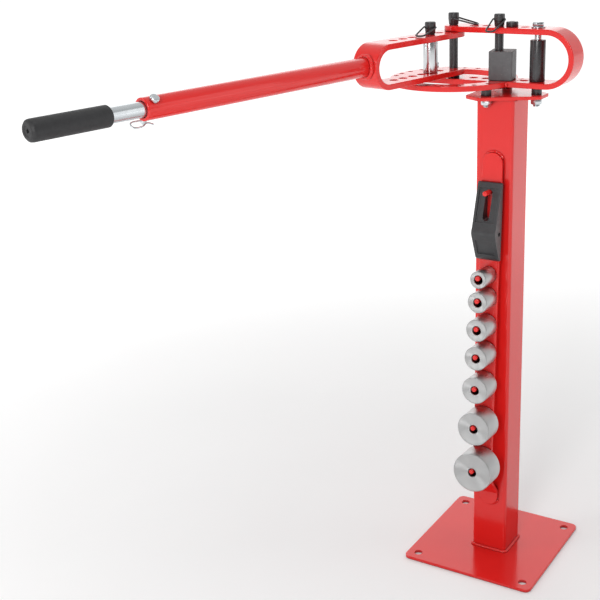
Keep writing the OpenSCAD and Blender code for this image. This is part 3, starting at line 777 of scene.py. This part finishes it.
def wedge_former():
    """Cast wedge: side outline across its width, with a framed panel on each slope,
    a hanging slot through the upper one and a cross hole through the thick part.
    Local frame: x across, y out from the strip, z up, the peg's axis at the origin."""
    half, thick = 23.0, 31.0
    side = [(0, 17), (6, 17), (10, 5), (28, -62), (thick, -69), (thick, -74), (29, -79),
            (9, -121), (4, -125), (0, -125)]
    side = soften(side, [1, 1.5, 6, 5, 3, 3, 5, 3, 2, 1], steps=4)
    upright = Matrix(((0, 0, 1, -half), (1, 0, 0, 0), (0, 1, 0, 0), (0, 0, 0, 1)))
    body = scratch(plate(side[::-1] if area(side) < 0 else side, [], 2 * half, 1.3), upright)
    upper = at(0, 10, 5) @ Matrix.Rotation(math.atan2(18, 67), 4, "X")
    lower = at(0, 29, -79) @ Matrix.Rotation(-math.atan2(20, 42), 4, "X")
    # framed panel of the upper slope, 3.2 mm deep
    cut(body, scratch(brick((-half + 5, -3.2, -60), (half - 5, 12, 3), 1.6), upper))
    # framed panel of the lower slope, with a step
    cut(body, scratch(brick((-half + 6, -2.5, -38), (half - 6, 12, -7), 2.0), lower))
    slot = [(x, z) for x, z in arc(0, -1.6, 6.25, 0, 180, 17)] + arc(0, -44, 6.25, 180, 360, 17)
    through = Matrix(((1, 0, 0, 0), (0, 0, 1, -2), (0, 1, 0, 0), (0, 0, 0, 1)))
    cut(body, scratch(plate(slot[::-1] if area(slot) < 0 else slot, [], 44, 0.3, 1), through))
    hole = Matrix.Rotation(math.radians(90), 4, "Y")
    cut(body, scratch(rod(4, -half - 4, half + 4, 0.3, 36), at(0, 11, -74) @ hole))
    bm = bmesh.new()
    bm.from_mesh(body.data)
    bmesh.ops.remove_doubles(bm, verts=bm.verts, dist=0.01)
    bmesh.ops.dissolve_limit(bm, angle_limit=math.radians(1), verts=bm.verts, edges=bm.edges)
    bmesh.ops.delete(bm, geom=[v for v in bm.verts if not v.link_faces], context="VERTS")
    bmesh.ops.triangulate(bm, faces=[f for f in bm.faces if len(f.verts) > 4])
    bm.to_mesh(body.data)
    bm.free()
    soft = body.modifiers.new("edges", "BEVEL")
    soft.width = 0.55
    soft.segments = 2
    soft.limit_method = "ANGLE"
    soft.angle_limit = math.radians(40)
    apply_modifiers(body)
    verts = [tuple(v.co) for v in body.data.vertices]
    faces = [list(p.vertices) for p in body.data.polygons]
    bpy.data.objects.remove(body)
    stand_up = Matrix(((1, 0, 0, 0), (0, -1, 0, 0), (0, 0, 1, 0), (0, 0, 0, 1)))
    drop = at(post.x, rack_face - former_drop * math.tan(rack_lean), rack_top - former_drop)
    place = drop @ Matrix.Rotation(-rack_lean, 4, "X") @ at(0, -rack_t - 0.6, 0)
    shell = moved((verts, faces), stand_up)
    piece("former", shell, "wedge_former", ["wedge_former"], CAST, place, even=True)


def area(loop):
    return sum(a[0] * b[1] - b[0] * a[1] for a, b in zip(loop, loop[1:] + loop[:1])) / 2


# ---------- frames bent from strap ----------

def bent_strap(bend_x, outer_r, mid_z, stations, low_end, low_stations, low_round):
    """Strap from the pivot end over the closed end and back along the lower leg.
    The flat pattern runs along x: 0 where the bend starts, mid_run where it ends."""
    inner_r = outer_r - strap_t
    bend_run = math.pi * (inner_r + strap_t / 2)
    start = leg_end - bend_x
    stop = bend_run + bend_x - low_end
    w = half_strap
    outline = arc(start, 0, w, 90, 270, 33)
    if low_round:
        outline += arc(bend_run + bend_x - leg_end, 0, w, -90, 90, 33)
    else:
        outline += [(stop, -w), (stop, w)]
    holes = [circle(s - bend_x, 0, pin_hole_r, 40) for s in stations]
    holes += [circle(bend_run + bend_x - s, 0, pin_hole_r, 40) for s in low_stations]
    cuts = np.linspace(0, bend_run, 37)
    verts, faces = sliced(plate(outline, holes, strap_t, 1.3), cuts)
    bent = []
    for u, across, up in verts:
        r = inner_r + up
        if u <= 0:
            bent.append((bend_x + u, across, mid_z + r))
        elif u >= bend_run:
            bent.append((bend_x - (u - bend_run), across, mid_z - r))
        else:
            a = u / bend_run * math.pi
            bent.append((bend_x + r * math.sin(a), across, mid_z + r * math.cos(a)))
    return bent, faces


def support_frame():
    outer_r = (support_top - support_low) / 2
    tail = [s for s in support_stations if s > 122.8]
    shell = bent_strap(support_len - outer_r, outer_r, (support_top + support_low) / 2,
                       [0] + support_stations, 122.8, tail, False)
    piece("support", shell, "stand", ["support_frame"], RED, PIVOT, even=True)


def swing_frame():
    outer_r = (swing_top - swing_low) / 2
    stations = [0] + swing_stations
    shell = bent_strap(swing_len - outer_r, outer_r, (swing_top + swing_low) / 2,
                       stations, leg_end, stations, True)
    piece("swing_arm", shell, "swing", ["swing_frame"], RED, ARM, even=True)


def index_plate():
    rim, tongue, window, bar, corner = 114.0, 122.8, 88.0, 26.0, 9.0
    edge = math.degrees(math.asin(half_strap / rim))
    outline = arc(0, 0, rim, edge, 360 - edge, 140) + [(tongue, -half_strap), (tongue, half_strap)]
    reach = math.sqrt((window - corner) ** 2 - (bar + corner) ** 2)
    lean = math.degrees(math.atan2(bar + corner, reach))
    opening = arc(reach, bar + corner, corner, -90, lean, 10)
    opening += arc(0, 0, window, lean + 3, 177 - lean, 50)
    opening += arc(-reach, bar + corner, corner, 180 - lean, 270, 10)
    holes = [opening[::-1], [(x, -y) for x, y in opening]]
    for a in range(30, 331, 15):
        t = math.radians(a)
        holes.append(circle(105 * math.cos(t), 105 * math.sin(t), 4.75, 24))
    holes += [circle(s, 0, pin_hole_r, 40) for s in [0] + support_stations if s < tongue]
    shell = plate(outline, holes, strap_t, 1.1)
    place = at(0, 0, index_low, PIVOT)
    piece("index_ring", shell, "stand", ["index_plate"], RED, place, even=True)


def frame_weld():
    """Ground weld across the strap, above and below, and a bead in each corner of the ring."""
    runs = []
    for z, up in ((index_top - 1.6, 1), (index_low + 1.6, -1)):
        path = [(124.0, -half_strap + 2.5, z), (124.0, half_strap - 2.5, z)]
        runs.append(bead(path, lambda p, t, up=up: (0, 0, up), 2.0, 4.2))
    corner_x = math.sqrt(114 ** 2 - half_strap ** 2)
    for s in (-1, 1):
        path = [(corner_x + 1.2, s * (half_strap + 0.6), index_low + 1.5),
                (corner_x + 1.2, s * (half_strap + 0.6), index_top - 1.5)]
        runs.append(bead(path, lambda p, t, s=s: (1, s * 1.6, 0), 3.0, 4.0))
    piece("ring_bead", joined(*runs), "stand", ["frame_weld"], RED, PIVOT, sharp=60)


# ---------- head hardware ----------

stud_x = flat(middle("mount_studs")).x - pivot.x
stud_y = (high("mount_studs").y - low("mount_studs").y) / 2 - 5


def spacers():
    shells = [moved(tube(9, 5, plate_top, index_low, 0.6), at(stud_x, s * stud_y, 0)) for s in (-1, 1)]
    shells.append(moved(tube(9, 6.2, plate_top, index_low, 0.6), at(bolt_station, 0, 0)))
    piece("spacers", joined(*shells), "stand", ["mount_spacers"], BLACK, PIVOT)


def studs():
    start = low("mount_studs").z
    shells = [moved(thread(5, 1.5, start, index_low), at(stud_x, s * stud_y, 0)) for s in (-1, 1)]
    piece("studs", joined(*shells), "stand", ["mount_studs"], ZINC, PIVOT)


def nuts():
    shells = []
    for s in (-1, 1):
        spot = at(stud_x, s * stud_y, 0) @ Matrix.Rotation(math.radians(20 * s), 4, "Z")
        shells.append(moved(tube(10, 5.2, plate_low - 2, plate_low, 0.5), spot))
        shells.append(moved(hexagon(16, plate_low - 10, plate_low - 2, 4.6), spot))
    spot = at(bolt_station, 0, 0) @ Matrix.Rotation(math.radians(12), 4, "Z")
    shells.append(moved(tube(12, 6.2, plate_low - 2, plate_low, 0.5), spot))
    shells.append(moved(hexagon(18, plate_low - 11, plate_low - 2, 5.6), spot))
    piece("nuts", joined(*shells), "stand", ["mount_nuts"], ZINC, PIVOT)


def long_bolt():
    seat = high("bolt_washer").z
    start = low("long_bolt").z
    head = moved(hexagon(18, seat, high("long_bolt").z), Matrix.Rotation(math.radians(10), 4, "Z"))
    flange = turned(profile([(0, seat - 0.05), (8.4, seat - 0.05), (8.4, seat + 0.7), (0, seat + 0.7)], 0.3))
    shank = rod(6, start + 24, seat + 0.5, 0.3)
    shell = joined(head, flange, shank, thread(6, 1.75, start, start + 26))
    piece("bolt_through", shell, "stand", ["long_bolt"], ZINC, at(bolt_station, 0, 0, PIVOT))
    washer = tube(12, 6.2, support_top, seat, 0.5)
    piece("washer", washer, "stand", ["bolt_washer"], ZINC, at(bolt_station, 0, 0, PIVOT))


def stop_bolt():
    spot = flat(middle("stop_bolt"))
    start = low("stop_bolt").z
    head = hexagon(13, index_top, high("stop_bolt").z)
    above = index_top + 1
    collar = turned(profile([(0, index_top), (6.2, index_top), (6.2, above), (0, above)], 0.3))
    shank = rod(4, index_low + 1, above, 0.2)
    shell = joined(head, collar, shank, thread(4, 1.25, start, index_low + 2))
    piece("stop_screw", shell, "stand", ["stop_bolt"], ZINC, at(spot.x, spot.y, 0))
    nut = hexagon(13, low("stop_nut").z, high("stop_nut").z, 3.6)
    piece("stop_hex", nut, "stand", ["stop_nut"], ZINC, at(spot.x, spot.y, 0))


def bush():
    shell = tube(10.5, 7.85, low("pivot_bush").z, high("pivot_bush").z, 0.6)
    piece("bush", shell, "stand", ["pivot_bush"], BLACK, PIVOT)


# ---------- drop pins and what they carry ----------

pin_r = 7.75
bail_axis = 12


def drop_pin(node, seat, name):
    """Shank with a tapered tip, a short collar that flares to the head, and a domed top."""
    tip = low(node).z - seat
    rows = [(0, tip), (pin_r - 1.5, tip), (pin_r, tip + 2), (pin_r, -0.6), (pin_r - 0.35, -0.3),
            (pin_r - 0.35, 0.3), (pin_r + 0.6, 0.9), (9.3, 9), (9.5, 10), (9.5, 19.2), (8.4, 20.9),
            (4, 21.4), (0, 21.5)]
    softness = [0, 0.6, 0.6, 0.1, 0.1, 0.1, 0.4, 2, 1, 0.8, 0.8, 1, 0]
    rows = profile(rows, softness, steps=3)
    place = at(*flat(middle(node)).xy, seat)
    piece(name, turned(rows, 72), node, [node], BLACK, place)


def bail(node, seat, centre, heading, lean, name):
    """Closed wire loop, narrower at its far end: its axle passes through the pin's head."""
    near, far, length = 11.4, 7.6, 46
    corners = [(0, -near), (6, -near), (length, -far), (length, far), (6, near), (0, near)]
    loop = soften(corners, [2, 12, 6.5, 6.5, 12, 2], steps=8)
    path = spaced([(x, y, 0) for x, y in loop], 1.0, closed=True)
    place = at(centre.x, centre.y, seat + bail_axis) @ Matrix.Rotation(heading, 4, "Z")
    place = place @ Matrix.Rotation(math.radians(lean), 4, "Y")
    piece(name, sweep(path, 1.5, 14, closed=True), node, [node], BLACK, place)


def pins():
    air = 0.3
    for node, name in (("centre_pin", "pin_centre"), ("block_pin", "pin_block")):
        drop_pin(node, support_top + air, name)
    drop_pin("roller_pin", swing_top + air, "pin_roller")
    block = flat(middle("block_pin"))
    bail("centre_bail", support_top + air, pivot, math.radians(4), 13, "bail_centre")
    bail("block_bail", support_top + air, block, math.radians(-90), 21.5, "bail_block")
    bail("roller_bail", swing_top + air, roller, arm_angle + math.radians(13.4), 13, "bail_roller")


def sleeve():
    shell = tube(12.7, pin_hole_r, low("roller_sleeve").z, high("roller_sleeve").z, 0.9)
    piece("sleeve", shell, "roller_sleeve", ["roller_sleeve"], CHROME, at(roller.x, roller.y, 0))


def square_block():
    half, out = 20.65, 6.5
    square = soften([(out - half, -half), (out + half, -half), (out + half, half), (out - half, half)], 1.2)
    start = low("square_block").z
    shell = plate(square, [circle(0, 0, pin_hole_r, 48)], high("square_block").z - start, 0.9)
    place = at(pivot.x + block_station, pivot.y, start) @ Matrix.Rotation(math.radians(12), 4, "Z")
    piece("block", shell, "square_block", ["square_block"], BLOCK, place, even=True)


def plug():
    tip, top = low("hole_plug").z, high("hole_plug").z
    seat = support_top + 0.3
    rows = [(0, tip), (6.6, tip), (pin_r, tip + 1.2), (pin_r, seat), (10.5, seat), (10.5, top - 1.4),
            (9.2, top), (5, top), (4.4, top - 0.5), (0, top - 0.5)]
    rows = profile(rows, [0, 0.4, 0.4, 0.1, 0.6, 0.6, 0.6, 0.2, 0.2, 0], steps=3)
    place = at(pivot.x + plug_station, pivot.y, 0)
    piece("plug", turned(rows, 72), "hole_plug", ["hole_plug"], BLACK, place)


def roller_tube():
    start, top = low("roller_tube").z, high("roller_tube").z
    shell = tube(13.4, 6.1, start, top, 1.1)
    place = at(bolt_station, 0, 0, PIVOT)
    piece("roller_long", shell, "roller_tube", ["roller_tube"], BLACK, place)


# ---------- handle ----------

tube_r, bar_r = 16.0, 11.0
tube_end = 692.0
grip_start = 747.0
lock_s = 678.0
ALONG = at(0, 0, handle_z, ARM) @ Matrix.Rotation(math.radians(90), 4, "Y")


def handle():
    rows = [(bar_r + 0.2, 246.5), (bar_r + 0.2, tube_end - 1.2), (bar_r + 1.0, tube_end),
            (tube_r - 0.9, tube_end), (tube_r, tube_end - 0.9), (tube_r, swing_len - 7), (4, swing_len - 7),
            (4, 246.5)]
    shell = turned(profile(rows, [0.1, 0.3, 0.4, 0.4, 0.5, 0.1, 0.1, 0.1]), 72)
    piece("handle", shell, "swing", ["handle_tube"], RED, ALONG)


def handle_weld():
    """Bead where the tube meets the rounded closed end of the swing frame."""
    outer_r = (swing_top - swing_low) / 2
    drop = handle_z - (swing_top + swing_low) / 2
    path = []
    for a in np.linspace(0, TAU, 60, endpoint=False):
        y, z = 17.2 * math.cos(a), 17.2 * math.sin(a)
        x = swing_len - outer_r + math.sqrt(outer_r ** 2 - (z + drop) ** 2)
        path.append((x + 1.0, y, z))

    def outward(point, tangent):
        return (17.0, point[1], point[2])
    shell = bead(path, outward, 3.9, 5.0, closed=True)
    piece("handle_bead", shell, "swing", ["handle_weld"], RED, at(0, 0, handle_z, ARM), sharp=60)


def grip():
    """Moulded grip: a soft shoulder, a slightly raised rim and a small vent hole in its end."""
    length = 122.0
    r = 15.0
    rows = [(bar_r, 0.6), (bar_r + 1.2, 0), (r - 1.6, 0), (r, 2.2), (r, length - 6.5),
            (r - 0.6, length - 3.0), (r - 3.2, length - 0.6), (r - 4.4, length), (7.6, length),
            (6.8, length - 0.9), (3.2, length - 0.9), (2.6, length - 1.6), (2.6, length - 9.5),
            (0.0, length - 9.5)]
    softness = [0, 0.5, 1, 1.2, 2, 2, 2, 0.6, 0.5, 0.4, 0.4, 0.4, 0.2, 0]
    rows = [(0.0, 0.6)] + rows
    shell = turned(profile(rows, [0] + softness, steps=4), 96)
    place = ALONG @ Matrix.Translation((0, 0, grip_start))
    piece("grip", shell, "handle_bar", ["handle_grip"], RUBBER, place)


# the lock pin leans about the handle's axis; lock_place has its origin under the pin's head
lock_lean = math.radians(40)
lock_place = at(lock_s, 0, handle_z, ARM) @ Matrix.Rotation(-lock_lean, 4, "X")
lock_place = lock_place @ Matrix.Translation((0, 0, tube_r + 0.2))
lock_tip = -(2 * tube_r + 14)
clip_rise = 7


def lock_pin():
    tip = lock_tip
    rows = [(0, tip), (3.1, tip), (4, tip + 1), (4, 0), (7, 0), (7, 3.4), (6.2, 4.8), (3, 5.15), (0, 5.2)]
    rows = profile(rows, [0, 0.4, 0.4, 0.1, 0.5, 0.8, 0.8, 0.6, 0], steps=3)
    piece("pin_lock", turned(rows, 48), "lock_pin", ["lock_pin"], ZINC, lock_place)


def lock_clip():
    """Spring clip: one leg through the pin, the other sprung round it."""
    place = lock_place @ Matrix.Translation((0, 0, lock_tip + clip_rise))
    loop = [(-9, 0), (0, 0), (10, 0), (20, 0), (24.6, 1.6), (26.5, 5.5), (24.6, 9.4), (20, 11),
            (13, 10.9), (8, 9.9), (4, 7.4), (0, 6.3), (-4, 7.4), (-8, 10.4)]
    path = curve_through([(x, y, 0) for x, y in loop], 6)
    shell = sweep(path, 1.2, 12)
    piece("clip", shell, "lock_clip", ["lock_clip"], ZINC, place)


# ---------- stage ----------

def floor():
    size = 60.0
    mesh = bpy.data.meshes.new("floor")
    corners = [(-size, -size, 0), (size, -size, 0), (size, size, 0), (-size, size, 0)]
    mesh.from_pydata(corners, [], [[0, 1, 2, 3]])
    m = Nodes("pale_floor")
    m.set(Specular_IOR_Level=0.2)
    color = m.mix(m.noise(3, 3), (0.80, 0.80, 0.80), (0.84, 0.84, 0.84))
    split = m.tree.nodes.new("ShaderNodeSeparateXYZ")
    m.link(m.where, split.inputs[0])
    away = m.math("ADD", m.math("POWER", split.outputs[0], 2.0), m.math("POWER", split.outputs[1], 2.0))
    # painted light: the floor glows, faintly near the object and more strongly with distance from it, so the
    # far floor turns white
    m.set(Emission_Color=(1, 1, 1, 1))
    m.link(m.range(away, 0.05, 5.0, 0.10, 0.62), m.shader.inputs["Emission Strength"])
    mesh.materials.append(m.finish(color, m.range(m.noise(40, 2), 0.3, 0.7, 0.75, 0.9)))
    obj = bpy.data.objects.new("floor", mesh)
    obj.location.z = -0.0005
    bpy.context.scene.collection.objects.link(obj)


def soft_light(name, place, target, size, power):
    data = bpy.data.lights.new(name, "AREA")
    data.shape = "RECTANGLE"
    data.size, data.size_y = size
    data.energy = power
    obj = bpy.data.objects.new(name, data)
    obj.location = place
    obj.rotation_mode = "QUATERNION"
    obj.rotation_quaternion = (Vector(target) - Vector(place)).to_track_quat("-Z", "Y")
    bpy.context.scene.collection.objects.link(obj)


def studio_world():
    """Bright behind the object and dimmer on the camera's side; plain near-white where it is seen."""
    world = bpy.data.worlds.new("studio")
    world.use_nodes = True
    bpy.context.scene.world = world
    tree = world.node_tree

    def node(kind, **inputs):
        n = tree.nodes.new(kind)
        for key, value in inputs.items():
            n.inputs[key.replace("_", " ")].default_value = value
        return n
    where = node("ShaderNodeTexCoord")
    dot = node("ShaderNodeVectorMath")
    dot.operation = "DOT_PRODUCT"
    dot.inputs[1].default_value = (-0.45, 0.85, 0.28)
    level = node("ShaderNodeMapRange", From_Min=-0.9, From_Max=0.9, To_Min=0.16, To_Max=1.05)
    glow = node("ShaderNodeBackground")
    seen = node("ShaderNodeBackground", Color=(1, 1, 1, 1))
    ray = node("ShaderNodeLightPath")
    both = node("ShaderNodeMixShader")
    tree.links.new(where.outputs["Generated"], dot.inputs[0])
    tree.links.new(dot.outputs["Value"], level.inputs[0])
    tree.links.new(level.outputs[0], glow.inputs["Strength"])
    tree.links.new(ray.outputs["Is Camera Ray"], both.inputs[0])
    tree.links.new(glow.outputs[0], both.inputs[1])
    tree.links.new(seen.outputs[0], both.inputs[2])
    tree.links.new(both.outputs[0], tree.nodes["World Output"].inputs["Surface"])


def lights():
    soft_light("top", (0.2, -0.6, 3.0), (0, 0, 0.4), (1.2, 1.2), 8)
    soft_light("back", (-2.3, 3.4, 2.2), (0, 0, 0.7), (3.4, 2.4), 20)
    soft_light("right", (3.0, 1.2, 1.6), (0.2, 0.2, 0.5), (1.4, 2.4), 10)
    soft_light("front", (0.5, -3.6, 2.0), (0, 0, 0.6), (1.0, 1.8), 50)
    soft_light("left", (-2.6, -2.4, 1.9), (0, 0, 0.7), (0.7, 2.0), 18)


def camera():
    data = bpy.data.cameras.new("camera")
    data.sensor_width = 36
    data.lens = 67.0
    data.shift_x = -0.10
    obj = bpy.data.objects.new("camera", data)
    yaw, pitch, roll = (math.radians(a) for a in (30.74, 19.86, -1.63))
    forward = Vector((-math.sin(yaw) * math.cos(pitch), math.cos(yaw) * math.cos(pitch), -math.sin(pitch)))
    right = Vector((math.cos(yaw), math.sin(yaw), 0))
    up = right.cross(forward)
    x = right * math.cos(roll) + up * math.sin(roll)
    y = up * math.cos(roll) - right * math.sin(roll)
    place = Matrix((x, y, -forward)).transposed().to_4x4()
    place.translation = (0.785, -1.818, 1.240)
    obj.matrix_world = place
    bpy.context.scene.collection.objects.link(obj)
    bpy.context.scene.camera = obj


for make in (base_plate, top_plate, foot_weld, top_weld, rack_strip, rack_welds, pegs, wedge_former,
             support_frame, index_plate, frame_weld, swing_frame, spacers, studs, nuts, long_bolt,
             stop_bolt, bush, pins, sleeve, square_block, plug, roller_tube, handle, handle_weld, grip,
             lock_pin, lock_clip, floor, studio_world, lights, camera):
    make()
for number, below in enumerate(peg_drops):
    die(number, below)
keep("post_tube", RED)
keep("handle_bar", ZINC)
bpy.context.scene.view_settings.view_transform = "Standard"
